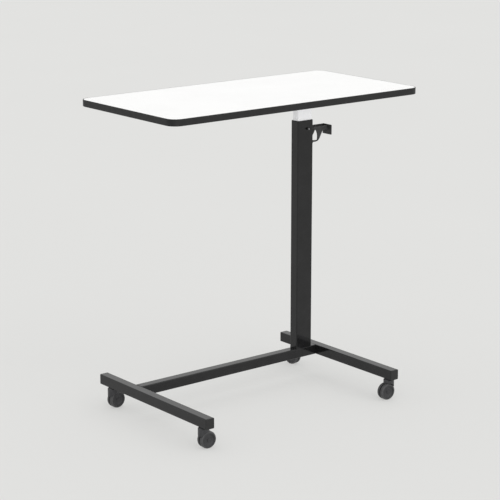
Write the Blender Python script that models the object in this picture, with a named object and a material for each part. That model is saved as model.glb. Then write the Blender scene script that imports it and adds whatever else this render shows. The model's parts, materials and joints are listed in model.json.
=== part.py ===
"""Height-adjustable overbed table on four twin-wheel casters.

Metres, +Z up. X runs along the tabletop's long side, from its overhanging end (-X) to the
column's end (+X). -Y is the front. The origin is on the floor under the tabletop's centre.
"""

import math

import bmesh
import bpy

# Tabletop
TOP_LENGTH = 0.800
TOP_WIDTH = 0.400
TOP_THICKNESS = 0.017
TOP_HEIGHT = 0.831
TOP_CORNER_RADIUS = 0.028
BAND_THICKNESS = 0.002

# Base frame, made of one size of rectangular tube
BAR_WIDTH = 0.025
BAR_HEIGHT = 0.0271
BAR_WALL = 0.0015
BAR_CORNER_RADIUS = 0.002
BAR_BOTTOM = 0.0572
FOOT_LENGTH = 0.4634
LEFT_FOOT_X = -0.3190
RIGHT_FOOT_X = 0.3001
END_CAP_FLANGE = 0.002
END_CAP_DEPTH = 0.018
END_CAP_WALL = 0.0018

# Telescopic column
COLUMN_X = 0.2432
COLUMN_Y = 0.0896
COLUMN_WIDTH = 0.0534
COLUMN_DEPTH = 0.0282
COLUMN_WALL = 0.0012
COLUMN_CORNER_RADIUS = 0.0025
COLUMN_TOP = 0.7226
MAST_WIDTH = 0.0484
MAST_DEPTH = 0.0232
MAST_WALL = 0.0012
MAST_CORNER_RADIUS = 0.0030
MAST_BOTTOM = 0.211
BUSH_LIP = 0.0011
BUSH_BOTTOM = 0.688
BUSH_LIP_INSET = 0.0006
GLIDE_COLLAR = 0.008
GLIDE_PLUG = 0.012

# Screw and nut in the column's front that take up the top bush's play
PLAY_SCREW_X = 0.2490
PLAY_SCREW_Z = 0.6996
PLAY_SCREW_RADIUS = 0.0021
PLAY_SCREW_REACH = 0.0086
PLAY_SCREW_SOCKET = 0.0011
PLAY_NUT_RADIUS = 0.0033
PLAY_NUT_HEIGHT = 0.0042

# Gas spring inside the mast
ANCHOR_THICKNESS = 0.012
ROD_RADIUS = 0.004
ROD_TOP = 0.550
PISTON_RADIUS = 0.0072
PISTON_LENGTH = 0.010
ROD_NUT_HEIGHT = 0.0065
ROD_NUT_RADIUS = 0.0075
CYLINDER_RADIUS = 0.009
CYLINDER_WALL = 0.0013
CYLINDER_BOTTOM = 0.224
CYLINDER_TOP = 0.763
CYLINDER_GLAND = 0.012
CYLINDER_EYE = 0.016
CYLINDER_PIN_RADIUS = 0.003

# Steel carrier under the tabletop
CARRIER_LEFT = -0.250
CARRIER_RIGHT = 0.330
CARRIER_WIDTH = 0.060
CARRIER_HEIGHT = 0.014
CARRIER_WALL = 0.002
CROSS_BAR_XS = (-0.220, 0.300)
CROSS_BAR_LENGTH = 0.340
CROSS_BAR_WIDTH = 0.030
CROSS_BAR_THICKNESS = 0.003
SCREW_YS = (-0.150, 0.0, 0.150)
SCREW_RADIUS = 0.002
SCREW_HEAD_RADIUS = 0.0042
SCREW_HEAD_HEIGHT = 0.0024
SCREW_LENGTH = 0.012

# Height lever on the column's right side
PIVOT_X = 0.2750
PIVOT_Z = 0.6920
PIVOT_RADIUS = 0.0015
PIVOT_HEAD_RADIUS = 0.0034
PIVOT_HEAD = 0.0014
ARM_WIDTH = 0.0204
ARM_WALL = 0.002
ARM_BOTTOM = 0.6874
ARM_FRONT_TOP = 0.700
ARM_REAR_TOP = 0.7022
ARM_END = 0.3256
ARM_WEB_START = 0.2985
ARM_REAR_BOTTOM = 0.6895
ARM_INNER_X = 0.2712
ARM_INNER_TOP = 0.6965
ARM_BOSS_RADIUS = 0.0041
PADDLE_WIDTH = 0.0356
PADDLE_REAR_REACH = 0.0012
PADDLE_BOTTOM = 0.6753
PADDLE_TOP = 0.7025
PADDLE_THICKNESS = 0.0024
PADDLE_CORNER_RADIUS = 0.0015
BRACKET_PLATE = 0.0015
BRACKET_BOTTOM = 0.6715
BRACKET_TOP = 0.6980
BRACKET_EAR = 0.002
BRACKET_EAR_TIP = (0.2837, 0.6938)
BRACKET_EAR_LOW = (0.2739, 0.6768)

# The loop that hangs from the arm's front cheek: the slanted bar's top and heel, and the opening
LOOP_TOP = (0.3075, 0.6874)
LOOP_HEEL_HIGH = (0.2961, 0.6667)
LOOP_HEEL_LOW = (0.2885, 0.6603)
LOOP_BOTTOM = 0.6594
OPENING_APEX = (0.2817, 0.6946)
OPENING_RIGHT = 0.2890
OPENING_BOTTOM = 0.6635
OPENING_SIDE_RADIUS = 0.0270
OPENING_SIDE_CENTRE_Z = 0.6745
TAB_X = 0.2710
TAB_THICKNESS = 0.002
TAB_BOTTOM = 0.6565
TAB_TOP = 0.6648
TAB_REAR = 0.0980
SHOE_WIDTH = 0.012
SHOE_SLOT_MARGIN = 0.0030
SPRING_WIRE = 0.0004
SPRING_RADIUS = 0.0024
SPRING_TURNS = 4.25
SPRING_PITCH = 0.0013
SPRING_LEG_DOWN = 0.010
SPRING_LEG_OUT = 0.0262
SPRING_FACETS = 12

# Casters, each named and given its stem's place and the direction it trails in (degrees)
CASTERS = {
    "front_left": (LEFT_FOOT_X, -0.204, -4.0),
    "rear_left": (LEFT_FOOT_X, 0.190, 0.0),
    "front_right": (RIGHT_FOOT_X, -0.209, 176.0),
    "rear_right": (RIGHT_FOOT_X, 0.180, 100.0),
}
CASTER_TRAIL = 0.0090
WHEEL_RADIUS = 0.0223
WHEEL_WIDTH = 0.0093
WHEEL_GAP = 0.0046
WHEEL_FACETS = 24
WHEEL_SKIN = 0.0026
WHEEL_FACE_RADIUS = 0.0168
WHEEL_SHOULDER_RADIUS = 0.0204
WHEEL_HUB_RADIUS = 0.006
WHEEL_RIM_INNER = 0.0182
AXLE_RADIUS = 0.0023
HOOD_RADIUS = 0.0144
HOOD_TOP = 0.0550
HOOD_BOTTOM = 0.0340
HOOD_WHEEL_GAP = 0.0008
HOOD_WEB = 0.0036
STEM_RADIUS = 0.004
STEM_TOP = 0.0735
STEM_BOTTOM = 0.0485
STEM_COLLAR_RADIUS = 0.0070
STEM_COLLAR_BOTTOM = 0.0553

# Gap kept between pieces that touch
GAP = 0.0003
ROUND_STEPS = 16

BAR_TOP = BAR_BOTTOM + BAR_HEIGHT
BAR_MID_Z = BAR_BOTTOM + BAR_HEIGHT / 2
BOARD_BOTTOM = TOP_HEIGHT - TOP_THICKNESS
CROSS_BAR_TOP = BOARD_BOTTOM - GAP
CARRIER_TOP = CROSS_BAR_TOP - CROSS_BAR_THICKNESS - GAP
MAST_TOP = CARRIER_TOP - CARRIER_WALL - GAP
COLUMN_RIGHT = COLUMN_X + COLUMN_WIDTH / 2
COLUMN_FRONT = COLUMN_Y - COLUMN_DEPTH / 2
MAST_RIGHT = COLUMN_X + MAST_WIDTH / 2
ARM_FRONT = COLUMN_Y - ARM_WIDTH / 2
ARM_REAR = COLUMN_Y + ARM_WIDTH / 2
BRACKET_WIDTH = ARM_WIDTH - 2 * ARM_WALL - 2 * GAP

POWDER_COAT = ("powder_coat", (0.035, 0.035, 0.037), 0.22, 0.0)
MAST_PAINT = ("mast_paint", (0.72, 0.72, 0.76), 0.35, 0.0)
LAMINATE = ("white_laminate", (0.85, 0.85, 0.84), 0.35, 0.0)
BAND_PLASTIC = ("edge_band", (0.03, 0.03, 0.032), 0.45, 0.0)
PADDLE_COAT = ("paddle_coat", (0.04, 0.04, 0.041), 0.5, 0.0)
NYLON = ("black_nylon", (0.03, 0.03, 0.03), 0.5, 0.0)
CASTER_PLASTIC = ("caster_plastic", (0.06, 0.06, 0.065), 0.4, 0.0)
TREAD = ("caster_tread", (0.05, 0.05, 0.055), 0.55, 0.0)
ZINC = ("zinc_steel", (0.6, 0.6, 0.62), 0.35, 1.0)
CHROME = ("chromed_rod", (0.75, 0.75, 0.77), 0.1, 1.0)
SPRING_PAINT = ("gas_spring_paint", (0.02, 0.02, 0.02), 0.3, 0.0)
BRAKE_RUBBER = ("brake_rubber", (0.05, 0.045, 0.04), 0.8, 0.0)


# Scene and materials


def clear_scene():
    for obj in list(bpy.data.objects):
        bpy.data.objects.remove(obj, do_unlink=True)


def material(look):
    name, colour, roughness, metallic = look
    found = bpy.data.materials.get(name)
    if found:
        return found
    made = bpy.data.materials.new(name)
    made.use_nodes = True
    shader = made.node_tree.nodes["Principled BSDF"]
    shader.inputs["Base Color"].default_value = (*colour, 1.0)
    shader.inputs["Roughness"].default_value = roughness
    shader.inputs["Metallic"].default_value = metallic
    return made


# Outlines, as lists of (x, y) going anticlockwise


def arc(centre, radius, start_deg, end_deg, steps):
    points = []
    for i in range(steps + 1):
        angle = math.radians(start_deg + (end_deg - start_deg) * i / steps)
        points.append((centre[0] + radius * math.cos(angle), centre[1] + radius * math.sin(angle)))
    return points


def circle(radius, steps=ROUND_STEPS, centre=(0.0, 0.0), phase_deg=0.0):
    return arc(centre, radius, phase_deg, phase_deg + 360.0, steps)[:-1]


def rounded_rectangle(width, height, radius, steps=3, centre=(0.0, 0.0)):
    across = width / 2 - radius
    up = height / 2 - radius
    corners = ((across, up, 0), (-across, up, 90), (-across, -up, 180), (across, -up, 270))
    points = []
    for x, y, start in corners:
        points += arc((centre[0] + x, centre[1] + y), radius, start, start + 90, steps)
    return points


def rectangle(x_low, x_high, y_low, y_high):
    return [(x_low, y_low), (x_high, y_low), (x_high, y_high), (x_low, y_high)]


# Solids


def finish_mesh(name, mesh_tools, look):
    bmesh.ops.recalc_face_normals(mesh_tools, faces=mesh_tools.faces)
    mesh = bpy.data.meshes.new(name)
    mesh_tools.to_mesh(mesh)
    mesh_tools.free()
    mesh.shade_smooth()
    mesh.set_sharp_from_angle(angle=math.radians(35))
    obj = bpy.data.objects.new(name, mesh)
    bpy.context.scene.collection.objects.link(obj)
    if look:
        mesh.materials.append(material(look))
    return obj


def add_ring(mesh_tools, outline, z):
    return [mesh_tools.verts.new((x, y, z)) for x, y in outline]


def wall_between(mesh_tools, low, high):
    count = len(low)
    for i in range(count):
        after = (i + 1) % count
        mesh_tools.faces.new((low[i], low[after], high[after], high[i]))


def prism(name, outline, low, high, look=None, chamfer=0.0):
    """The outline (local XY) from z=low to z=high, its end edges cut back by chamfer."""
    mesh_tools = bmesh.new()
    bottom = add_ring(mesh_tools, outline, low)
    top = add_ring(mesh_tools, outline, high)
    wall_between(mesh_tools, bottom, top)
    mesh_tools.faces.new(list(reversed(bottom)))
    mesh_tools.faces.new(top)
    if chamfer:
        ends = [e for e in mesh_tools.edges if abs(e.verts[0].co.z - e.verts[1].co.z) < 1e-9]
        bmesh.ops.bevel(mesh_tools, geom=ends, offset=chamfer, segments=1, affect="EDGES")
    return finish_mesh(name, mesh_tools, look)


def tube(name, outer, inner, low, high, look=None):
    """A straight tube along local Z, open at both ends. The two outlines have as many points."""
    mesh_tools = bmesh.new()
    rings = [add_ring(mesh_tools, outline, z) for outline, z in (
        (outer, low), (outer, high), (inner, high), (inner, low))]
    for i in range(4):
        wall_between(mesh_tools, rings[i], rings[(i + 1) % 4])
    return finish_mesh(name, mesh_tools, look)


def turned(name, profile, look=None, steps=ROUND_STEPS, phase_deg=0.0):
    """Turns a closed profile of (radius, z) points about local Z. Radius 0 lies on the axis."""
    mesh_tools = bmesh.new()
    rings = []
    for radius, z in profile:
        if radius == 0:
            rings.append([mesh_tools.verts.new((0, 0, z))])
        else:
            rings.append(add_ring(mesh_tools, circle(radius, steps, phase_deg=phase_deg), z))
    for i, ring in enumerate(rings):
        following = rings[(i + 1) % len(rings)]
        if len(ring) == 1 and len(following) == 1:
            continue
        for k in range(steps):
            after = (k + 1) % steps
            corners = [ring[k % len(ring)], ring[after % len(ring)],
                       following[after % len(following)], following[k % len(following)]]
            mesh_tools.faces.new(list(dict.fromkeys(corners)))
    return finish_mesh(name, mesh_tools, look)


def rod(name, radius, low, high, look=None, steps=ROUND_STEPS, chamfer=0.0):
    return turned(name, [(0, low), (radius - chamfer, low), (radius, low + chamfer),
                         (radius, high - chamfer), (radius - chamfer, high), (0, high)]
                  if chamfer else [(0, low), (radius, low), (radius, high), (0, high)], look, steps)


def boolean(obj, other, operation):
    modifier = obj.modifiers.new(operation.lower() + "_" + other.name, "BOOLEAN")
    modifier.operation = operation
    modifier.object = other
    modifier.solver = "EXACT"
    other.hide_render = True
    other.display_type = "WIRE"


def cut(obj, cutter):
    boolean(obj, cutter, "DIFFERENCE")


def join(obj, other):
    boolean(obj, other, "UNION")


def place(obj, location=(0, 0, 0), rotation_deg=(0, 0, 0), parent=None):
    obj.location = location
    obj.rotation_euler = [math.radians(angle) for angle in rotation_deg]
    obj.parent = parent
    return obj


def stand_outline(obj, y_high):
    """Turns a prism drawn in local XY so that its outline stands in world XZ, ending at y_high."""
    return place(obj, (0, y_high, 0), (90, 0, 0))


def lay_along_x(obj, location):
    """Turns local Z to world X, local X to world Y and local Y to world Z."""
    return place(obj, location, (90, 0, 90))


def lay_along_y(obj, location):
    """Turns local Z to world -Y, keeping local X."""
    return place(obj, location, (90, 0, 0))


# Base frame


def bar_outlines():
    inner_width = BAR_WIDTH - 2 * BAR_WALL
    inner_height = BAR_HEIGHT - 2 * BAR_WALL
    return (rounded_rectangle(BAR_WIDTH, BAR_HEIGHT, BAR_CORNER_RADIUS),
            rounded_rectangle(inner_width, inner_height, BAR_CORNER_RADIUS - BAR_WALL))


def make_foot(side, x):
    outer, inner = bar_outlines()
    half = FOOT_LENGTH / 2 - END_CAP_FLANGE - GAP
    foot = tube(side + "_foot", outer, inner, -half, half, POWDER_COAT)
    lay_along_y(foot, (x, 0, BAR_MID_Z))
    for corner, (_, stem_y, _) in CASTERS.items():
        if not corner.endswith(side):
            continue
        hole = rod("stem_hole_" + corner, STEM_RADIUS + GAP, BAR_BOTTOM - 0.005, BAR_MID_Z)
        place(hole, (x, stem_y, 0))
        cut(foot, hole)


def make_foot_caps(side, x):
    flange = rounded_rectangle(BAR_WIDTH, BAR_HEIGHT, BAR_CORNER_RADIUS)
    plug_width = BAR_WIDTH - 2 * BAR_WALL - 2 * GAP
    plug_height = BAR_HEIGHT - 2 * BAR_WALL - 2 * GAP
    plug = rectangle(-plug_width / 2, plug_width / 2, -plug_height / 2, plug_height / 2)
    hollow = rectangle(-plug_width / 2 + END_CAP_WALL, plug_width / 2 - END_CAP_WALL,
                       -plug_height / 2 + END_CAP_WALL, plug_height / 2 - END_CAP_WALL)
    for end, facing in (("front", 0), ("rear", 180)):
        name = "foot_cap_" + end + "_" + side
        cap = prism(name, flange, -END_CAP_FLANGE, 0, NYLON, chamfer=0.0005)
        body = prism(name + "_plug", plug, -END_CAP_DEPTH, -END_CAP_FLANGE / 2)
        inside = prism(name + "_hollow", hollow, -END_CAP_DEPTH - 0.002, -END_CAP_FLANGE)
        end_y = -FOOT_LENGTH / 2 if end == "front" else FOOT_LENGTH / 2
        for piece in (cap, body, inside):
            place(piece, (x, end_y, BAR_MID_Z), (90, 0, facing))
        join(cap, body)
        cut(cap, inside)


def make_central_bar():
    outer, inner = bar_outlines()
    left = LEFT_FOOT_X + BAR_WIDTH / 2 + GAP
    right = RIGHT_FOOT_X - BAR_WIDTH / 2 - GAP
    bar = tube("central_bar", outer, inner, left, right, POWDER_COAT)
    lay_along_x(bar, (0, COLUMN_Y, BAR_MID_Z))


# Column


def box_section(width, depth, radius, inset=0.0):
    return rounded_rectangle(width - 2 * inset, depth - 2 * inset, max(radius - inset, 0.0005))


def make_column():
    outer = box_section(COLUMN_WIDTH, COLUMN_DEPTH, COLUMN_CORNER_RADIUS)
    inner = box_section(COLUMN_WIDTH, COLUMN_DEPTH, COLUMN_CORNER_RADIUS, COLUMN_WALL)
    top = COLUMN_TOP - BUSH_LIP - GAP
    column = tube("column_tube", outer, inner, BAR_TOP + GAP, top, POWDER_COAT)
    place(column, (COLUMN_X, COLUMN_Y, 0))
    half = SHOE_WIDTH / 2 + 0.001
    slot_outline = rectangle(COLUMN_RIGHT - 0.008, COLUMN_RIGHT + 0.005,
                             COLUMN_Y - half, COLUMN_Y + half)
    slot = prism("shoe_slot", slot_outline, TAB_BOTTOM - SHOE_SLOT_MARGIN, TAB_TOP + SHOE_SLOT_MARGIN)
    cut(column, slot)
    hole = rod("play_screw_hole", PLAY_SCREW_RADIUS + GAP, -0.004, 0.004)
    lay_along_y(hole, (PLAY_SCREW_X, COLUMN_FRONT, PLAY_SCREW_Z))
    cut(column, hole)


def make_guide_bush():
    """A thin sleeve between column and mast, with a lip that closes the column's top edge."""
    bore = box_section(MAST_WIDTH, MAST_DEPTH, MAST_CORNER_RADIUS, -GAP)
    sleeve = box_section(COLUMN_WIDTH, COLUMN_DEPTH, COLUMN_CORNER_RADIUS, COLUMN_WALL + GAP)
    lip = box_section(COLUMN_WIDTH, COLUMN_DEPTH, COLUMN_CORNER_RADIUS, BUSH_LIP_INSET)
    mesh_tools = bmesh.new()
    lip_bottom = COLUMN_TOP - BUSH_LIP
    rings = [add_ring(mesh_tools, outline, z) for outline, z in (
        (sleeve, BUSH_BOTTOM), (sleeve, lip_bottom), (lip, lip_bottom),
        (lip, COLUMN_TOP), (bore, COLUMN_TOP), (bore, BUSH_BOTTOM))]
    for i in range(6):
        wall_between(mesh_tools, rings[i], rings[(i + 1) % 6])
    place(finish_mesh("guide_bush", mesh_tools, NYLON), (COLUMN_X, COLUMN_Y, 0))


def make_play_screw():
    """A set screw through the column's front wall, with its lock nut."""
    chamfer = 0.0004
    screw = turned("play_screw", [
        (0, -COLUMN_WALL), (PLAY_SCREW_RADIUS, -COLUMN_WALL),
        (PLAY_SCREW_RADIUS, PLAY_SCREW_REACH - chamfer),
        (PLAY_SCREW_RADIUS - chamfer, PLAY_SCREW_REACH), (0, PLAY_SCREW_REACH)], ZINC)
    socket = prism("play_screw_socket", circle(PLAY_SCREW_SOCKET, 6),
                   PLAY_SCREW_REACH - 0.0025, PLAY_SCREW_REACH + 0.002)
    nut = turned("play_nut", [
        (PLAY_SCREW_RADIUS + GAP, GAP), (PLAY_NUT_RADIUS, GAP), (PLAY_NUT_RADIUS, PLAY_NUT_HEIGHT - chamfer),
        (PLAY_NUT_RADIUS - chamfer, PLAY_NUT_HEIGHT), (PLAY_SCREW_RADIUS + GAP, PLAY_NUT_HEIGHT)], POWDER_COAT)
    for piece in (screw, socket, nut):
        lay_along_y(piece, (PLAY_SCREW_X, COLUMN_FRONT, PLAY_SCREW_Z))
    cut(screw, socket)


# Gas spring


def make_spring_anchor():
    inside = box_section(COLUMN_WIDTH, COLUMN_DEPTH, COLUMN_CORNER_RADIUS, COLUMN_WALL + GAP)
    low = BAR_TOP + GAP
    anchor = prism("spring_anchor", inside, low, low + ANCHOR_THICKNESS, ZINC)
    hole = rod("anchor_hole", ROD_RADIUS + GAP, low - 0.002, low + ANCHOR_THICKNESS + 0.002)
    for piece in (anchor, hole):
        place(piece, (COLUMN_X, COLUMN_Y, 0))
    cut(anchor, hole)


def make_gas_rod():
    low = BAR_TOP + 2 * GAP
    gas_rod = turned("gas_rod", [
        (0, low), (ROD_RADIUS, low), (ROD_RADIUS, ROD_TOP - PISTON_LENGTH),
        (PISTON_RADIUS, ROD_TOP - PISTON_LENGTH), (PISTON_RADIUS, ROD_TOP), (0, ROD_TOP)], CHROME)
    place(gas_rod, (COLUMN_X, COLUMN_Y, 0))
    nut_low = BAR_TOP + ANCHOR_THICKNESS + 2 * GAP
    nut = tube("rod_nut", circle(ROD_NUT_RADIUS, 6), circle(ROD_RADIUS + GAP, 6),
               nut_low, nut_low + ROD_NUT_HEIGHT, ZINC)
    bore = rod("rod_nut_bore", ROD_RADIUS + GAP, nut_low - 0.002, nut_low + ROD_NUT_HEIGHT + 0.002)
    for piece in (nut, bore):
        place(piece, (COLUMN_X, COLUMN_Y, 0))
    cut(nut, bore)


def make_gas_cylinder():
    """A tube closed at the top, with a gland round the rod below and an eye for the pin above."""
    bore = CYLINDER_RADIUS - CYLINDER_WALL
    cylinder = turned("gas_cylinder", [
        (0, CYLINDER_TOP), (0, CYLINDER_TOP - CYLINDER_GLAND / 2),
        (bore, CYLINDER_TOP - CYLINDER_GLAND / 2),
        (bore, CYLINDER_BOTTOM + CYLINDER_GLAND), (ROD_RADIUS + GAP, CYLINDER_BOTTOM + CYLINDER_GLAND),
        (ROD_RADIUS + GAP, CYLINDER_BOTTOM), (CYLINDER_RADIUS, CYLINDER_BOTTOM),
        (CYLINDER_RADIUS, CYLINDER_TOP)], SPRING_PAINT)
    place(cylinder, (COLUMN_X, COLUMN_Y, 0))
    half = CYLINDER_EYE / 2 - 0.001
    eye_outline = rectangle(-half, half, -half * 0.8, half * 0.8)
    eye = prism("cylinder_eye", eye_outline, CYLINDER_TOP - 0.004, CYLINDER_TOP + CYLINDER_EYE)
    place(eye, (COLUMN_X, COLUMN_Y, 0))
    join(cylinder, eye)
    hole = rod("cylinder_eye_hole", CYLINDER_PIN_RADIUS + GAP, -0.012, 0.012)
    lay_along_y(hole, (COLUMN_X, COLUMN_Y, CYLINDER_TOP + CYLINDER_EYE / 2))
    cut(cylinder, hole)


def make_cylinder_pin():
    half = MAST_DEPTH / 2 - GAP
    pin = rod("cylinder_pin", CYLINDER_PIN_RADIUS, -half, half, ZINC)
    lay_along_y(pin, (COLUMN_X, COLUMN_Y, CYLINDER_TOP + CYLINDER_EYE / 2))


# Mast


def make_mast():
    outer = box_section(MAST_WIDTH, MAST_DEPTH, MAST_CORNER_RADIUS)
    inner = box_section(MAST_WIDTH, MAST_DEPTH, MAST_CORNER_RADIUS, MAST_WALL)
    mast = tube("mast_tube", outer, inner, MAST_BOTTOM, MAST_TOP, MAST_PAINT)
    place(mast, (COLUMN_X, COLUMN_Y, 0))
    hole = rod("mast_pin_hole", CYLINDER_PIN_RADIUS + GAP, -MAST_DEPTH, MAST_DEPTH)
    lay_along_y(hole, (COLUMN_X, COLUMN_Y, CYLINDER_TOP + CYLINDER_EYE / 2))
    cut(mast, hole)


def make_mast_glide():
    """A plug in the mast's lower end, with a collar that slides on the column's inner walls."""
    collar = box_section(COLUMN_WIDTH, COLUMN_DEPTH, COLUMN_CORNER_RADIUS, COLUMN_WALL + GAP)
    plug = box_section(MAST_WIDTH, MAST_DEPTH, MAST_CORNER_RADIUS, MAST_WALL + GAP)
    collar_top = MAST_BOTTOM - GAP
    collar_bottom = collar_top - GLIDE_COLLAR
    glide = prism("mast_glide", collar, collar_bottom, collar_top, NYLON)
    plug_piece = prism("mast_glide_plug", plug, collar_top - GLIDE_COLLAR / 2, MAST_BOTTOM + GLIDE_PLUG)
    bore = rod("mast_glide_bore", ROD_RADIUS + 0.002, collar_bottom - 0.005, MAST_BOTTOM + GLIDE_PLUG + 0.005)
    for piece in (glide, plug_piece, bore):
        place(piece, (COLUMN_X, COLUMN_Y, 0))
    join(glide, plug_piece)
    cut(glide, bore)


# Tabletop


def make_carrier():
    """A channel along the tabletop's underside, open downwards, with the mast's top inside."""
    half = CARRIER_WIDTH / 2
    low = CARRIER_TOP - CARRIER_HEIGHT
    inner = half - CARRIER_WALL
    outline = [(-half, low), (-inner, low), (-inner, CARRIER_TOP - CARRIER_WALL),
               (inner, CARRIER_TOP - CARRIER_WALL), (inner, low), (half, low),
               (half, CARRIER_TOP), (-half, CARRIER_TOP)]
    carrier = prism("carrier_channel", outline, CARRIER_LEFT, CARRIER_RIGHT, POWDER_COAT)
    lay_along_x(carrier, (0, COLUMN_Y, 0))


def make_cross_bars():
    for side, x in zip(("left", "right"), CROSS_BAR_XS):
        outline = rounded_rectangle(CROSS_BAR_WIDTH, CROSS_BAR_LENGTH, 0.006)
        bar = prism("cross_bar_" + side, outline, CROSS_BAR_TOP - CROSS_BAR_THICKNESS,
                    CROSS_BAR_TOP, POWDER_COAT)
        place(bar, (x, 0, 0))
        for i, y in enumerate(SCREW_YS):
            hole = rod("cross_bar_hole_%s_%d" % (side, i), SCREW_RADIUS + GAP,
                       CROSS_BAR_TOP - 0.01, CROSS_BAR_TOP + 0.01, steps=12)
            place(hole, (x, y, 0))
            cut(bar, hole)


def make_board():
    inset = 2 * (BAND_THICKNESS + GAP)
    outline = rounded_rectangle(TOP_LENGTH - inset, TOP_WIDTH - inset,
                                TOP_CORNER_RADIUS - inset / 2, steps=8)
    board = prism("tabletop_board", outline, BOARD_BOTTOM, TOP_HEIGHT, LAMINATE)
    for side, x in zip(("left", "right"), CROSS_BAR_XS):
        for i, y in enumerate(SCREW_YS):
            hole = rod("pilot_hole_%s_%d" % (side, i), SCREW_RADIUS + GAP,
                       BOARD_BOTTOM - 0.01, BOARD_BOTTOM + SCREW_LENGTH - 0.002, steps=12)
            place(hole, (x, y, 0))
            cut(board, hole)


def make_edge_band():
    outer = rounded_rectangle(TOP_LENGTH, TOP_WIDTH, TOP_CORNER_RADIUS, steps=8)
    soft = rounded_rectangle(TOP_LENGTH - 0.001, TOP_WIDTH - 0.001, TOP_CORNER_RADIUS - 0.0005, steps=8)
    inset = 2 * BAND_THICKNESS
    inner = rounded_rectangle(TOP_LENGTH - inset, TOP_WIDTH - inset,
                              TOP_CORNER_RADIUS - inset / 2, steps=8)
    mesh_tools = bmesh.new()
    rings = [add_ring(mesh_tools, outline, z) for outline, z in (
        (soft, BOARD_BOTTOM), (outer, BOARD_BOTTOM + 0.0005), (outer, TOP_HEIGHT - 0.0005),
        (soft, TOP_HEIGHT), (inner, TOP_HEIGHT), (inner, BOARD_BOTTOM))]
    for i in range(6):
        wall_between(mesh_tools, rings[i], rings[(i + 1) % 6])
    finish_mesh("edge_band", mesh_tools, BAND_PLASTIC)


def make_top_screws():
    head_top = CROSS_BAR_TOP - CROSS_BAR_THICKNESS - GAP
    profile = [(0, head_top - SCREW_HEAD_HEIGHT), (SCREW_HEAD_RADIUS * 0.7, head_top - SCREW_HEAD_HEIGHT),
               (SCREW_HEAD_RADIUS, head_top - SCREW_HEAD_HEIGHT * 0.5), (SCREW_HEAD_RADIUS, head_top),
               (SCREW_RADIUS, head_top), (SCREW_RADIUS, head_top + SCREW_LENGTH - 0.002),
               (0, head_top + SCREW_LENGTH)]
    for side, x in zip(("left", "right"), CROSS_BAR_XS):
        for i, y in enumerate(SCREW_YS):
            screw = turned("top_screw_%s_%d" % (side, i + 1), profile, ZINC, steps=10)
            place(screw, (x, y, 0))


# Height lever


def make_lever_bracket():
    """Two ears on a plate that is welded to the column, holding the lever's pivot pin."""
    plate_left = COLUMN_RIGHT + GAP
    half = BRACKET_WIDTH / 2
    plate = prism("lever_bracket", rectangle(plate_left, plate_left + BRACKET_PLATE,
                                             COLUMN_Y - half, COLUMN_Y + half),
                  BRACKET_BOTTOM, BRACKET_TOP, POWDER_COAT)
    ear_left = plate_left + BRACKET_PLATE / 2
    step = 0.001
    outline = [(ear_left, BRACKET_BOTTOM + step), (BRACKET_EAR_LOW[0], BRACKET_BOTTOM + 2 * step),
               BRACKET_EAR_LOW, BRACKET_EAR_TIP, (BRACKET_EAR_TIP[0] - step, BRACKET_TOP - step),
               (ear_left, BRACKET_TOP - step)]
    for side, y_high in (("front", COLUMN_Y - half + BRACKET_EAR + 0.0002), ("rear", COLUMN_Y + half - 0.0002)):
        ear = prism("bracket_ear_" + side, outline, 0, BRACKET_EAR)
        stand_outline(ear, y_high)
        join(plate, ear)
    hole = rod("bracket_pin_hole", PIVOT_RADIUS + GAP, -ARM_WIDTH, ARM_WIDTH)
    lay_along_y(hole, (PIVOT_X, COLUMN_Y, PIVOT_Z))
    cut(plate, hole)


def make_lever_pin():
    """A headed pin through the arm's cheeks, with a push-on clip at its rear end."""
    head_face = ARM_WIDTH / 2 + GAP
    shank_end = -head_face - 0.003
    pin = turned("lever_pin", [
        (0, shank_end), (PIVOT_RADIUS, shank_end), (PIVOT_RADIUS, head_face),
        (PIVOT_HEAD_RADIUS, head_face), (PIVOT_HEAD_RADIUS, head_face + PIVOT_HEAD * 0.5),
        (PIVOT_HEAD_RADIUS * 0.6, head_face + PIVOT_HEAD), (0, head_face + PIVOT_HEAD)], POWDER_COAT)
    clip = tube("pin_clip", circle(PIVOT_HEAD_RADIUS), circle(PIVOT_RADIUS + GAP),
                -head_face - 0.0012, -head_face, ZINC)
    for piece in (pin, clip):
        lay_along_y(piece, (PIVOT_X, COLUMN_Y, PIVOT_Z))


def cheek_end(top):
    """A cheek's edge in XZ from its top corner at the outer end, round the pivot to its underside."""
    boss = arc((PIVOT_X, PIVOT_Z), ARM_BOSS_RADIUS, 180, 325, 8)
    return [(ARM_END, top), (PIVOT_X + 0.001, top), (ARM_INNER_X, ARM_INNER_TOP)] + boss


def loop_outline():
    """The front cheek's lower edge, from the boss round the opening, the tip and the heel."""
    centre_x = OPENING_RIGHT - OPENING_SIDE_RADIUS
    high = math.degrees(math.asin((OPENING_APEX[1] - OPENING_SIDE_CENTRE_Z) / OPENING_SIDE_RADIUS))
    side = arc((centre_x, OPENING_SIDE_CENTRE_Z), OPENING_SIDE_RADIUS, high, 0, 6)
    corner = 0.0035
    low_corner = arc((OPENING_RIGHT - corner, OPENING_BOTTOM + corner), corner, 0, -90, 4)
    tip = [(TAB_X, OPENING_BOTTOM + 0.0008), (TAB_X, LOOP_BOTTOM)]
    heel = [(LOOP_HEEL_LOW[0] - 0.005, LOOP_BOTTOM), LOOP_HEEL_LOW,
            (LOOP_HEEL_LOW[0] + 0.0042, LOOP_HEEL_LOW[1] + 0.0026), LOOP_HEEL_HIGH]
    return side + low_corner + tip + heel + [LOOP_TOP, (ARM_END, ARM_BOTTOM)]


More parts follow.
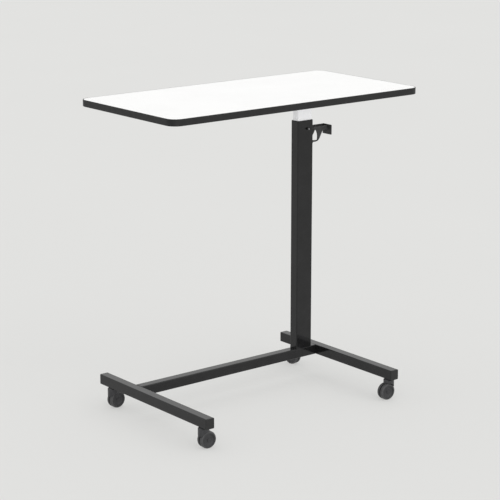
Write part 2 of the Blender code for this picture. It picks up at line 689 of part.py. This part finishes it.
def make_lever_arm():
    """A pressed channel, open upwards. Its front cheek hangs down in a loop with a bent tab."""
    arm = prism("lever_arm", cheek_end(ARM_FRONT_TOP) + loop_outline(), 0, ARM_WALL, PADDLE_COAT)
    stand_outline(arm, ARM_FRONT + ARM_WALL)
    rear_outline = cheek_end(ARM_REAR_TOP) + [
        (ARM_WEB_START, ARM_REAR_BOTTOM), (ARM_WEB_START + ARM_WALL, ARM_BOTTOM), (ARM_END, ARM_BOTTOM)]
    rear = prism("arm_rear_cheek", rear_outline, 0, ARM_WALL)
    stand_outline(rear, ARM_REAR)
    step = 0.0004
    web = prism("arm_web", rectangle(ARM_WEB_START, ARM_END - step, ARM_FRONT + step, ARM_REAR - step),
                ARM_BOTTOM + step, ARM_BOTTOM + step + ARM_WALL)
    tab = prism("arm_tab", rectangle(TAB_X + step, TAB_X + step + TAB_THICKNESS, ARM_FRONT + step, TAB_REAR),
                TAB_BOTTOM, TAB_TOP)
    join(arm, web)
    join(arm, rear)
    join(arm, tab)
    hole = rod("arm_pin_hole", PIVOT_RADIUS + GAP, -ARM_WIDTH, ARM_WIDTH)
    lay_along_y(hole, (PIVOT_X, COLUMN_Y, PIVOT_Z))
    cut(arm, hole)


def make_finger_paddle():
    """The flat plate across the arm's outer end. It reaches past the arm, mostly to the front."""
    mid = (ARM_REAR + PADDLE_REAR_REACH - PADDLE_WIDTH / 2, (PADDLE_BOTTOM + PADDLE_TOP) / 2)
    outline = rounded_rectangle(PADDLE_WIDTH, PADDLE_TOP - PADDLE_BOTTOM, PADDLE_CORNER_RADIUS, centre=mid)
    left = ARM_END + GAP
    paddle = prism("finger_paddle", outline, left, left + PADDLE_THICKNESS, PADDLE_COAT, chamfer=0.0004)
    lay_along_x(paddle, (0, 0, 0))


def make_brake_shoe():
    """A rubber block on the loop's tab, facing the mast through the column's slot."""
    outline = rectangle(MAST_RIGHT + GAP, TAB_X + 0.0004 - GAP,
                        COLUMN_Y - SHOE_WIDTH / 2, COLUMN_Y + SHOE_WIDTH / 2)
    prism("brake_shoe", outline, TAB_BOTTOM, TAB_TOP, BRAKE_RUBBER, chamfer=0.0004)


def make_return_spring():
    """A torsion spring round the pin, one leg down the bracket's plate and one out to the web."""
    steps = int(SPRING_TURNS * SPRING_FACETS)
    coil = []
    for i in range(steps + 1):
        turn = i / SPRING_FACETS
        angle = math.pi - 2 * math.pi * turn
        coil.append((SPRING_RADIUS * math.cos(angle), SPRING_PITCH * turn, SPRING_RADIUS * math.sin(angle)))
    leg_down = (-SPRING_RADIUS, 0, -SPRING_LEG_DOWN)
    web_top = ARM_BOTTOM + 0.0004 + ARM_WALL - PIVOT_Z
    leg_out = (SPRING_LEG_OUT, coil[-1][1], web_top + SPRING_WIRE + GAP)
    route = [leg_down] + coil + [leg_out]
    curve = bpy.data.curves.new("return_spring", "CURVE")
    curve.dimensions = "3D"
    curve.bevel_depth = SPRING_WIRE
    curve.bevel_resolution = 1
    curve.use_fill_caps = True
    spline = curve.splines.new("POLY")
    spline.points.add(len(route) - 1)
    for point, (x, y, z) in zip(spline.points, route):
        point.co = (x, y, z, 1)
    curve.materials.append(material(ZINC))
    spring = bpy.data.objects.new("return_spring", curve)
    bpy.context.scene.collection.objects.link(spring)
    place(spring, (PIVOT_X, COLUMN_Y - SPRING_PITCH * SPRING_TURNS / 2, PIVOT_Z))


# Casters


def wheel_profile():
    """Radius and distance from the wheel's inner side, from the middle of its outer face round."""
    width = WHEEL_WIDTH
    corner = WHEEL_RADIUS / math.cos(math.pi / WHEEL_FACETS)
    bore = AXLE_RADIUS + GAP
    return [(0, width), (WHEEL_FACE_RADIUS, width), (WHEEL_SHOULDER_RADIUS, width - 0.0016),
            (corner, width - 0.0046),
            (corner, 0), (WHEEL_RIM_INNER, 0), (WHEEL_RIM_INNER, width - WHEEL_SKIN),
            (WHEEL_HUB_RADIUS, width - WHEEL_SKIN), (WHEEL_HUB_RADIUS, 0.0004), (bore, 0.0004),
            (bore, width - 0.002), (0, width - 0.002)]


def make_hood(corner, pivot):
    """A round cap that fits down over the wheels, and a thin web between them for the axle."""
    hood = turned("caster_hood_" + corner, [
        (0, HOOD_BOTTOM), (HOOD_RADIUS, HOOD_BOTTOM), (HOOD_RADIUS, HOOD_TOP - 0.002),
        (HOOD_RADIUS - 0.002, HOOD_TOP), (0, HOOD_TOP)], CASTER_PLASTIC, steps=24)
    place(hood, parent=pivot)
    wheel_room = rod("wheel_room_" + corner, WHEEL_RADIUS + HOOD_WHEEL_GAP, -0.02, 0.02, steps=32)
    place(wheel_room, (CASTER_TRAIL, 0, WHEEL_RADIUS), (90, 0, 0), pivot)
    cut(hood, wheel_room)
    axle_arc = arc((CASTER_TRAIL, WHEEL_RADIUS), 0.006, 200, 380, 8)
    web_high = HOOD_TOP - 0.006
    outline = axle_arc + [(HOOD_RADIUS - 0.0012, web_high), (-HOOD_RADIUS + 0.0012, web_high),
                          (-HOOD_RADIUS + 0.0012, HOOD_BOTTOM + 0.001)]
    web = prism("hood_web_" + corner, outline, 0, HOOD_WEB)
    place(web, (0, HOOD_WEB / 2, 0), (90, 0, 0), pivot)
    join(hood, web)
    socket = rod("hood_socket_" + corner, STEM_RADIUS + GAP, STEM_BOTTOM - GAP, HOOD_TOP + 0.004)
    place(socket, parent=pivot)
    cut(hood, socket)
    bore = rod("hood_bore_" + corner, AXLE_RADIUS + GAP, -0.006, 0.006)
    place(bore, (CASTER_TRAIL, 0, WHEEL_RADIUS), (90, 0, 0), pivot)
    cut(hood, bore)


def make_wheels(corner, pivot):
    profile = wheel_profile()
    offset = WHEEL_GAP / 2
    for side, sign in (("a", -1), ("b", 1)):
        wheel = turned("wheel_" + corner + "_" + side, profile, TREAD, WHEEL_FACETS,
                       phase_deg=180.0 / WHEEL_FACETS)
        turn = (90, 0, 0) if sign < 0 else (-90, 0, 0)
        place(wheel, (CASTER_TRAIL, sign * offset, WHEEL_RADIUS), turn, pivot)
    half = offset + WHEEL_WIDTH - 0.002 - GAP
    axle = rod("axle_" + corner, AXLE_RADIUS, -half, half, ZINC, chamfer=0.0003)
    place(axle, (CASTER_TRAIL, 0, WHEEL_RADIUS), (90, 0, 0), pivot)


def make_stem(corner, x, y):
    stem = turned("caster_stem_" + corner, [
        (0, STEM_BOTTOM), (STEM_RADIUS, STEM_BOTTOM), (STEM_RADIUS, STEM_COLLAR_BOTTOM),
        (STEM_COLLAR_RADIUS, STEM_COLLAR_BOTTOM), (STEM_COLLAR_RADIUS, BAR_BOTTOM - GAP),
        (STEM_RADIUS, BAR_BOTTOM - GAP), (STEM_RADIUS, STEM_TOP), (0, STEM_TOP)], ZINC, steps=12)
    place(stem, (x, y, 0))


def make_caster(corner, x, y, heading_deg):
    pivot = bpy.data.objects.new("caster_pivot_" + corner, None)
    bpy.context.scene.collection.objects.link(pivot)
    place(pivot, (x, y, 0), (0, 0, heading_deg))
    make_stem(corner, x, y)
    make_hood(corner, pivot)
    make_wheels(corner, pivot)


def main():
    clear_scene()
    for side, x in (("left", LEFT_FOOT_X), ("right", RIGHT_FOOT_X)):
        make_foot(side, x)
        make_foot_caps(side, x)
    make_central_bar()
    make_column()
    make_guide_bush()
    make_play_screw()
    make_spring_anchor()
    make_gas_rod()
    make_gas_cylinder()
    make_cylinder_pin()
    make_mast()
    make_mast_glide()
    make_carrier()
    make_cross_bars()
    make_board()
    make_edge_band()
    make_top_screws()
    make_lever_bracket()
    make_lever_pin()
    make_lever_arm()
    make_finger_paddle()
    make_brake_shoe()
    make_return_spring()
    for corner, (x, y, heading_deg) in CASTERS.items():
        make_caster(corner, x, y, heading_deg)


main()
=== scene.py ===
"""Looks for the overbed table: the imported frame, finer casters and edges, and procedural materials."""

import json
import math

import bmesh
import bpy
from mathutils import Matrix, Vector


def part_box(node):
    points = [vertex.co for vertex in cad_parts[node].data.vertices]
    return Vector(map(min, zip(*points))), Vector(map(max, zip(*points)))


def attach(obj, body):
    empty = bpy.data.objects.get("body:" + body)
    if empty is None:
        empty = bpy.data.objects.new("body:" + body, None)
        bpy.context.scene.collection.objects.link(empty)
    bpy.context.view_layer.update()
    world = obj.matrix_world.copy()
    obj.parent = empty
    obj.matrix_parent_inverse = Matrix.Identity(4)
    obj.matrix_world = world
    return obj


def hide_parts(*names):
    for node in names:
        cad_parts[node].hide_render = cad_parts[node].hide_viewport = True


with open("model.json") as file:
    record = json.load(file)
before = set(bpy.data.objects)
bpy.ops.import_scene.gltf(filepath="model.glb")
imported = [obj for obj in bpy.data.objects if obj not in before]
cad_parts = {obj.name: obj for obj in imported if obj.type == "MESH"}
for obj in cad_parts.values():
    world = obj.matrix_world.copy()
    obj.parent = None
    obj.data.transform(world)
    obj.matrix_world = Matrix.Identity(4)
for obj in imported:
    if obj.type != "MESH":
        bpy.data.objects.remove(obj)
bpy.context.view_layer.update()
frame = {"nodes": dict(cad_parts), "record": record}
NODES = frame["nodes"]
JOINTS = {joint["name"]: joint for joint in frame["record"]["behaviour"]["joints"]}

CORNERS = ("front_left", "rear_left", "front_right", "rear_right")
CAMERA_PLACE = (-2.8484, -3.5484, 1.5584)
CAMERA_TURN_DEG = (75.91, 0.0, -38.67)
CAMERA_LENS_MM = 129.13
CAMERA_SENSOR_MM = 36.0

# Wheels. Radii are from the axle. Sinks are depths under the outer face of the rim
WHEEL_STEPS = 72
WHEEL_SHARP_DEG = 35
WHEEL_WIDTH = 0.0093
WHEEL_INNER_OFFSET = 0.0023
WHEEL_SHOULDER = 0.0048
SHOULDER_STEPS = 10
BOSS_RADIUS = 0.0038
BOSS_SINK = 0.0008
DISC_SINK = 0.0028
DISC_BACK_SINK = 0.0046
TREAD_CHAMFER = 0.0006
RIM_INNER = 0.0182
HUB_RADIUS = 0.0062
HUB_SETBACK = 0.0004
BORE_RADIUS = 0.0029
BORE_SINK = 0.0022

# The painted highlight, a pale ring round each tread's shoulder: where it fades in and out, from the axle
PAINTED_HIGHLIGHT_INNER = (0.0182, 0.0198)
PAINTED_HIGHLIGHT_OUTER = (0.0216, 0.0235)
PAINTED_HIGHLIGHT_COLOUR = (0.070, 0.070, 0.072)

# Soft edges: the bevel's width on each of the frame's own pieces
EDGE_SEGMENTS = 2
EDGE_ANGLE_DEG = 40
EDGE_RADII = {
    "lever_arm": 0.00035, "finger_paddle": 0.0005, "lever_bracket": 0.00025, "guide_bush": 0.0002,
    "carrier_channel": 0.0004, "cross_bar_left": 0.0004, "cross_bar_right": 0.0004,
}

# Studio: each light's way to it, its strength and how many degrees wide it is
FLOOR_HALF = 30.0
FLOOR_DROP = 0.0004
FLOOR_GLOW = 0.446
SURROUND_STRENGTH = 0.93
SURROUND_SEEN = (0.745, 0.745, 0.73, 1)
LIGHTS = {
    "key_light": ((0.25, -1.0, 0.55), 0.75, 60),
    "top_light": ((0.1, 0.2, 1.0), 0.32, 90),
    "front_fill": ((-0.3, -1.0, 0.10), 0.60, 40),
}


# Material tools


def new_material(name):
    made = bpy.data.materials.new(name)
    made.use_nodes = True
    return made, made.node_tree, made.node_tree.nodes["Principled BSDF"]


def add_node(tree, kind, settings=None, **inputs):
    made = tree.nodes.new(kind)
    for key, value in (settings or {}).items():
        setattr(made, key, value)
    for key, value in inputs.items():
        made.inputs[key.replace("_", " ")].default_value = value
    return made


def object_point(tree, scale=(1, 1, 1)):
    place = add_node(tree, "ShaderNodeTexCoord")
    mapping = add_node(tree, "ShaderNodeMapping")
    mapping.inputs["Scale"].default_value = scale
    tree.links.new(place.outputs["Object"], mapping.inputs["Vector"])
    return mapping.outputs["Vector"]


def noise(tree, point, scale, detail=3.0, roughness=0.5):
    made = add_node(tree, "ShaderNodeTexNoise", Scale=scale, Detail=detail, Roughness=roughness)
    tree.links.new(point, made.inputs["Vector"])
    return made.outputs["Fac"]


def spread(tree, value, low, high, out_low, out_high):
    made = add_node(tree, "ShaderNodeMapRange", From_Min=low, From_Max=high, To_Min=out_low, To_Max=out_high)
    tree.links.new(value, made.inputs["Value"])
    return made.outputs["Result"]


def blend_colours(tree, share, low, high):
    made = add_node(tree, "ShaderNodeMix", {"data_type": "RGBA"})
    tree.links.new(share, made.inputs["Factor"])
    for socket, colour in (("A", low), ("B", high)):
        slot = [item for item in made.inputs if item.name == socket and item.type == "RGBA"][0]
        if isinstance(colour, tuple):
            slot.default_value = (*colour, 1.0)
        else:
            tree.links.new(colour, slot)
    return [item for item in made.outputs if item.type == "RGBA"][0]


def multiply(tree, first, second):
    made = add_node(tree, "ShaderNodeMath", {"operation": "MULTIPLY"})
    tree.links.new(first, made.inputs[0])
    tree.links.new(second, made.inputs[1])
    return made.outputs[0]


def bump(tree, height, strength, distance):
    made = add_node(tree, "ShaderNodeBump", Strength=strength, Distance=distance)
    tree.links.new(height, made.inputs["Height"])
    return made.outputs["Normal"]


def finish_shader(tree, shader, colour, roughness, normal, metallic):
    for socket, value in (("Base Color", colour), ("Roughness", roughness), ("Normal", normal)):
        if value is not None:
            tree.links.new(value, shader.inputs[socket])
    shader.inputs["Metallic"].default_value = metallic


# Materials


def powder_coat():
    """Black satin powder coat: fine orange peel, faint mottling and a little settled dust."""
    made, tree, shader = new_material("powder_coat")
    point = object_point(tree)
    mottle = spread(tree, noise(tree, point, 34, 5), 0.3, 0.7, 0, 1)
    colour = blend_colours(tree, mottle, (0.0075, 0.0075, 0.0078), (0.0115, 0.0115, 0.0120))
    fleck = spread(tree, noise(tree, point, 2600, 2), 0.66, 0.78, 0, 0.35)
    colour = blend_colours(tree, fleck, colour, (0.042, 0.042, 0.044))
    smear = spread(tree, noise(tree, object_point(tree, (1, 1, 0.25)), 21, 4, 0.6), 0.3, 0.75, 0.09, 0.16)
    peel = bump(tree, noise(tree, point, 950, 2), 0.10, 0.0004)
    finish_shader(tree, shader, colour, smear, peel, 0.0)
    shader.inputs["Specular IOR Level"].default_value = 0.34
    return made


def paddle_coat():
    """Matt black powder coat with a fine sandy texture, worn a little shinier in patches by fingers."""
    made, tree, shader = new_material("paddle_coat")
    point = object_point(tree)
    mottle = spread(tree, noise(tree, point, 120, 4), 0.3, 0.7, 0, 1)
    colour = blend_colours(tree, mottle, (0.040, 0.040, 0.0405), (0.050, 0.050, 0.051))
    worn = spread(tree, noise(tree, point, 60, 4, 0.6), 0.3, 0.7, 0.42, 0.6)
    sand = bump(tree, noise(tree, point, 1900, 3), 0.3, 0.0004)
    finish_shader(tree, shader, colour, worn, sand, 0.0)
    shader.inputs["Specular IOR Level"].default_value = 0.15
    return made


def mast_paint():
    """Off-white satin paint with faint lengthwise sliding marks."""
    made, tree, shader = new_material("mast_paint")
    lengthwise = object_point(tree, (60, 60, 1))
    streak = spread(tree, noise(tree, lengthwise, 9, 4, 0.6), 0.35, 0.75, 0, 1)
    colour = blend_colours(tree, streak, (0.945, 0.945, 0.965), (0.90, 0.90, 0.925))
    rough = spread(tree, noise(tree, lengthwise, 14, 3), 0.3, 0.7, 0.26, 0.42)
    peel = bump(tree, noise(tree, object_point(tree), 900, 2), 0.07, 0.0003)
    finish_shader(tree, shader, colour, rough, peel, 0.0)
    return made


def laminate():
    """Matt white laminate: a very fine pebbled press texture, slightly uneven sheen."""
    made, tree, shader = new_material("white_laminate")
    point = object_point(tree)
    cloud = spread(tree, noise(tree, point, 6, 4, 0.55), 0.3, 0.7, 0, 1)
    colour = blend_colours(tree, cloud, (0.862, 0.862, 0.862), (0.838, 0.838, 0.838))
    speck = spread(tree, noise(tree, point, 1500, 2), 0.70, 0.80, 0, 0.3)
    colour = blend_colours(tree, speck, colour, (0.75, 0.75, 0.74))
    rough = spread(tree, noise(tree, point, 18, 4, 0.6), 0.3, 0.7, 0.36, 0.5)
    pebble = bump(tree, noise(tree, point, 1300, 3), 0.12, 0.0003)
    finish_shader(tree, shader, colour, rough, pebble, 0.0)
    return made


def edge_band():
    """Black extruded edging with a fine leather-like grain and rubbed corners."""
    made, tree, shader = new_material("edge_band")
    point = object_point(tree)
    mottle = spread(tree, noise(tree, point, 60, 4), 0.3, 0.7, 0, 1)
    colour = blend_colours(tree, mottle, (0.008, 0.008, 0.0082), (0.012, 0.012, 0.0122))
    rubbed = spread(tree, noise(tree, object_point(tree, (1, 1, 3)), 260, 5, 0.7), 0.66, 0.82, 0, 0.5)
    colour = blend_colours(tree, rubbed, colour, (0.09, 0.09, 0.092))
    rough = spread(tree, noise(tree, point, 90, 4), 0.3, 0.7, 0.36, 0.52)
    grain = bump(tree, noise(tree, point, 1500, 3), 0.2, 0.0004)
    finish_shader(tree, shader, colour, rough, grain, 0.0)
    shader.inputs["Specular IOR Level"].default_value = 0.3
    return made


def moulded_plastic(name, dark, light, rough_low, rough_high):
    """Moulded plastic with spark-eroded grain, scuffs and dust."""
    made, tree, shader = new_material(name)
    point = object_point(tree)
    mottle = spread(tree, noise(tree, point, 90, 4), 0.3, 0.7, 0, 1)
    colour = blend_colours(tree, mottle, dark, light)
    scuff = spread(tree, noise(tree, object_point(tree, (1, 1, 2.5)), 420, 5, 0.75), 0.64, 0.8, 0, 0.4)
    colour = blend_colours(tree, scuff, colour, tuple(3.0 * part for part in light))
    rough = spread(tree, noise(tree, point, 150, 4), 0.3, 0.7, rough_low, rough_high)
    grain = bump(tree, noise(tree, point, 2100, 2), 0.16, 0.0003)
    finish_shader(tree, shader, colour, rough, grain, 0.0)
    shader.inputs["Specular IOR Level"].default_value = 0.32
    return made


def wheel_plastic():
    """The wheels' plastic, with a painted highlight: a paler broken ring round the tread's shoulder."""
    made = moulded_plastic("caster_tread", (0.027, 0.027, 0.029), (0.037, 0.037, 0.039), 0.4, 0.58)
    tree = made.node_tree
    colour = tree.nodes["Principled BSDF"].inputs["Base Color"]
    from_axle = add_node(tree, "ShaderNodeVectorMath", {"operation": "LENGTH"})
    tree.links.new(object_point(tree, (1, 1, 0)), from_axle.inputs[0])
    inner = spread(tree, from_axle.outputs["Value"], *PAINTED_HIGHLIGHT_INNER, 0, 1)
    outer = spread(tree, from_axle.outputs["Value"], *PAINTED_HIGHLIGHT_OUTER, 1, 0)
    broken = spread(tree, noise(tree, object_point(tree), 260, 4, 0.6), 0.3, 0.6, 0.35, 1)
    # Painted highlight: a pale ring at the tread's shoulder, broken up by noise and blended into the wheel
    # colour
    share = multiply(tree, multiply(tree, inner, outer), broken)
    tree.links.new(blend_colours(tree, share, colour.links[0].from_socket, PAINTED_HIGHLIGHT_COLOUR), colour)
    return made


def zinc_steel():
    """Bright zinc plate with a faint crystalline mottling."""
    made, tree, shader = new_material("zinc_steel")
    point = object_point(tree)
    cell = add_node(tree, "ShaderNodeTexVoronoi", Scale=900.0)
    tree.links.new(point, cell.inputs["Vector"])
    shade = spread(tree, cell.outputs["Distance"], 0, 0.8, 0, 1)
    colour = blend_colours(tree, shade, (0.46, 0.46, 0.47), (0.36, 0.36, 0.375))
    rough = spread(tree, noise(tree, point, 300, 4), 0.3, 0.7, 0.26, 0.42)
    finish_shader(tree, shader, colour, rough, bump(tree, noise(tree, point, 1400, 3), 0.12, 0.0003), 1.0)
    return made


def chrome_rod():
    """Hard chrome with a trace of oil and fine lengthwise polishing lines."""
    made, tree, shader = new_material("chromed_rod")
    lines = noise(tree, object_point(tree, (400, 400, 4)), 6, 4)
    colour = blend_colours(tree, spread(tree, lines, 0.3, 0.7, 0, 1), (0.78, 0.78, 0.8), (0.66, 0.66, 0.68))
    finish_shader(tree, shader, colour, spread(tree, lines, 0.3, 0.7, 0.06, 0.16),
                  bump(tree, lines, 0.04, 0.0002), 1.0)
    return made


def gas_spring_paint():
    """Gloss black cylinder paint."""
    made, tree, shader = new_material("gas_spring_paint")
    point = object_point(tree)
    colour = blend_colours(tree, spread(tree, noise(tree, point, 80, 4), 0.3, 0.7, 0, 1),
                           (0.012, 0.012, 0.012), (0.022, 0.022, 0.023))
    finish_shader(tree, shader, colour, spread(tree, noise(tree, point, 45, 4), 0.3, 0.7, 0.14, 0.3),
                  bump(tree, noise(tree, point, 700, 2), 0.1, 0.0004), 0.0)
    return made


def brake_rubber():
    """Moulded brake rubber, its face polished in patches."""
    made, tree, shader = new_material("brake_rubber")
    point = object_point(tree)
    colour = blend_colours(tree, spread(tree, noise(tree, point, 500, 5), 0.3, 0.7, 0, 1),
                           (0.02, 0.019, 0.018), (0.05, 0.047, 0.043))
    finish_shader(tree, shader, colour, spread(tree, noise(tree, point, 260, 4), 0.3, 0.7, 0.55, 0.85),
                  bump(tree, noise(tree, point, 1800, 3), 0.4, 0.0005), 0.0)
    return made


MATERIALS = {
    "powder_coat": powder_coat(),
    "paddle_coat": paddle_coat(),
    "mast_paint": mast_paint(),
    "white_laminate": laminate(),
    "edge_band": edge_band(),
    "black_nylon": moulded_plastic("black_nylon", (0.0125, 0.0125, 0.0125), (0.0175, 0.0175, 0.0175),
                                   0.3, 0.45),
    "caster_plastic": moulded_plastic("caster_plastic", (0.032, 0.032, 0.034), (0.044, 0.044, 0.047),
                                      0.34, 0.5),
    "caster_tread": wheel_plastic(),
    "zinc_steel": zinc_steel(),
    "chromed_rod": chrome_rod(),
    "gas_spring_paint": gas_spring_paint(),
    "brake_rubber": brake_rubber(),
}


def repaint_frame():
    """Gives each of the frame's own pieces the procedural material of its slot."""
    slots = {part["node"]: part["material_slot"] for part in frame["record"]["subparts"]}
    for node, obj in NODES.items():
        obj.data.materials.clear()
        obj.data.materials.append(MATERIALS[slots[node]])


def soften_edges():
    """Bevels the frame's own sharp-edged pieces a little, so that their edges catch light."""
    for node, radius in EDGE_RADII.items():
        modifier = NODES[node].modifiers.new("soft_edge", "BEVEL")
        modifier.width = radius
        modifier.segments = EDGE_SEGMENTS
        modifier.limit_method = "ANGLE"
        modifier.angle_limit = math.radians(EDGE_ANGLE_DEG)
        modifier.harden_normals = True


# Mesh tools


def link_mesh(name, mesh_tools, material, smooth_deg=40.0):
    bmesh.ops.recalc_face_normals(mesh_tools, faces=mesh_tools.faces)
    mesh = bpy.data.meshes.new(name)
    mesh_tools.to_mesh(mesh)
    mesh_tools.free()
    mesh.shade_smooth()
    mesh.set_sharp_from_angle(angle=math.radians(smooth_deg))
    mesh.materials.append(material)
    obj = bpy.data.objects.new(name, mesh)
    bpy.context.scene.collection.objects.link(obj)
    return obj


def lathe(mesh_tools, profile, steps):
    """Turns a closed loop of (radius, z) points about Z. Radius 0 is a single point on the axis."""
    rings = []
    for radius, z in profile:
        if radius <= 0:
            rings.append([mesh_tools.verts.new((0, 0, z))])
            continue
        turn = [2 * math.pi * i / steps for i in range(steps)]
        rings.append([mesh_tools.verts.new((radius * math.cos(a), radius * math.sin(a), z)) for a in turn])
    for ring, following in zip(rings, rings[1:] + rings[:1]):
        if len(ring) == 1 and len(following) == 1:
            continue
        for i in range(steps):
            j = (i + 1) % steps
            corners = [ring[i % len(ring)], ring[j % len(ring)],
                       following[j % len(following)], following[i % len(following)]]
            mesh_tools.faces.new(list(dict.fromkeys(corners)))


def rounded(centre, radius, start_deg, end_deg, steps):
    """Points along an arc, from one angle to the other."""
    points = []
    for i in range(steps + 1):
        angle = math.radians(start_deg + (end_deg - start_deg) * i / steps)
        points.append((centre[0] + radius * math.cos(angle), centre[1] + radius * math.sin(angle)))
    return points


# Casters


def wheel_axis(corner, side):
    joint = JOINTS["spin_%s_%s" % (corner, side)]
    return Vector(joint["pos_m"]), Vector(joint["axis"]).normalized()


def wheel_profile(radius, width):
    """A twin-caster wheel from its outer face's middle: hub boss, dished disc, raised rim, rounded tread."""
    rim = radius - WHEEL_SHOULDER
    boss = [(0, width - BOSS_SINK), (BOSS_RADIUS, width - BOSS_SINK),
            (BOSS_RADIUS + 0.0004, width - BOSS_SINK - 0.0004)]
    disc = [(BOSS_RADIUS + 0.0006, width - DISC_SINK + 0.0004), (BOSS_RADIUS + 0.0012, width - DISC_SINK),
            (rim - 0.0032, width - DISC_SINK + 0.0004)]
    ridge = [(rim - 0.0026, width - 0.0020), (rim - 0.0018, width - 0.0004), (rim - 0.0010, width)]
    tread = rounded((rim, width - WHEEL_SHOULDER), WHEEL_SHOULDER, 84, 0, SHOULDER_STEPS)
    lip = [(radius, TREAD_CHAMFER), (radius - TREAD_CHAMFER, 0), (RIM_INNER + 0.0006, 0), (RIM_INNER, 0.0005)]
    back = [(RIM_INNER, width - DISC_BACK_SINK), (HUB_RADIUS, width - DISC_BACK_SINK),
            (HUB_RADIUS, HUB_SETBACK)]
    bore = [(BORE_RADIUS, HUB_SETBACK), (BORE_RADIUS, width - BORE_SINK), (0, width - BORE_SINK)]
    return boss + disc + ridge + tread + lip + back + bore


def make_wheel(corner, side):
    """A fine wheel in the place of the frame's, its open side towards the other wheel of the pair."""
    centre, axis = wheel_axis(corner, side)
    name = "wheel_%s_%s" % (corner, side)
    low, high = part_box(name)
    radius = (high[2] - low[2]) / 2
    outward = -axis if side == "a" else axis
    mesh_tools = bmesh.new()
    lathe(mesh_tools, wheel_profile(radius, WHEEL_WIDTH), WHEEL_STEPS)
    wheel = link_mesh("fine_" + name, mesh_tools, MATERIALS["caster_tread"], WHEEL_SHARP_DEG)
    wheel.rotation_mode = "QUATERNION"
    wheel.rotation_quaternion = outward.to_track_quat("Z", "Y")
    wheel.location = centre + outward * WHEEL_INNER_OFFSET
    bpy.context.view_layer.update()
    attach(wheel, name)
    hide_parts(name)


repaint_frame()
soften_edges()
for corner_name in CORNERS:
    for side_name in "ab":
        make_wheel(corner_name, side_name)


# Stage


def make_floor():
    """A pale floor, part of its light coming up from below, as on a lit sweep."""
    mesh_tools = bmesh.new()
    corners = [mesh_tools.verts.new((FLOOR_HALF * x, FLOOR_HALF * y, -FLOOR_DROP))
               for x, y in ((-1, -1), (1, -1), (1, 1), (-1, 1))]
    mesh_tools.faces.new(corners)
    made, tree, shader = new_material("studio_floor")
    cloud = spread(tree, noise(tree, object_point(tree), 1.2, 3), 0.3, 0.7, 0, 1)
    colour = blend_colours(tree, cloud, (0.268, 0.268, 0.264), (0.272, 0.272, 0.268))
    finish_shader(tree, shader, colour, None, None, 0.0)
    shader.inputs["Roughness"].default_value = 0.5
    shader.inputs["Specular IOR Level"].default_value = 0.0
    shader.inputs["Emission Color"].default_value = (1.0, 1.0, 0.985, 1.0)
    shader.inputs["Emission Strength"].default_value = FLOOR_GLOW
    link_mesh("studio_floor", mesh_tools, made)


def plain_tones():
    """Tones as they are, so that the white top stays white."""
    settings = bpy.context.scene.view_settings
    settings.view_transform = "Standard"
    settings.look = "None"


def make_world():
    """A bright soft surround. The camera sees it as pale as the floor, whatever it lights."""
    world = bpy.data.worlds.new("studio_world")
    bpy.context.scene.world = world
    world.use_nodes = True
    tree = world.node_tree
    lit = tree.nodes["Background"]
    lit.inputs["Color"].default_value = (1.0, 1.0, 0.99, 1)
    lit.inputs["Strength"].default_value = SURROUND_STRENGTH
    seen = add_node(tree, "ShaderNodeBackground", Color=SURROUND_SEEN, Strength=1.0)
    path = add_node(tree, "ShaderNodeLightPath")
    mix = add_node(tree, "ShaderNodeMixShader")
    tree.links.new(path.outputs["Is Camera Ray"], mix.inputs[0])
    tree.links.new(lit.outputs[0], mix.inputs[1])
    tree.links.new(seen.outputs[0], mix.inputs[2])
    tree.links.new(mix.outputs[0], tree.nodes["World Output"].inputs["Surface"])


def soft_sun(name, towards, energy, width_deg):
    """Light from a wide patch of the surround. towards is the way from the object to it."""
    data = bpy.data.lights.new(name, "SUN")
    data.energy = energy
    data.angle = math.radians(width_deg)
    light = bpy.data.objects.new(name, data)
    light.rotation_euler = Vector(towards).to_track_quat("Z", "Y").to_euler()
    bpy.context.scene.collection.objects.link(light)


def make_lights():
    for name, (towards, energy, width_deg) in LIGHTS.items():
        soft_sun(name, towards, energy, width_deg)


def make_camera():
    data = bpy.data.cameras.new("camera")
    data.lens = CAMERA_LENS_MM
    data.sensor_width = CAMERA_SENSOR_MM
    data.sensor_fit = "HORIZONTAL"
    data.clip_end = 100.0
    camera = bpy.data.objects.new("camera", data)
    camera.location = CAMERA_PLACE
    camera.rotation_euler = [math.radians(angle) for angle in CAMERA_TURN_DEG]
    bpy.context.scene.collection.objects.link(camera)
    bpy.context.scene.camera = camera


plain_tones()
make_floor()
make_world()
make_lights()
make_camera()
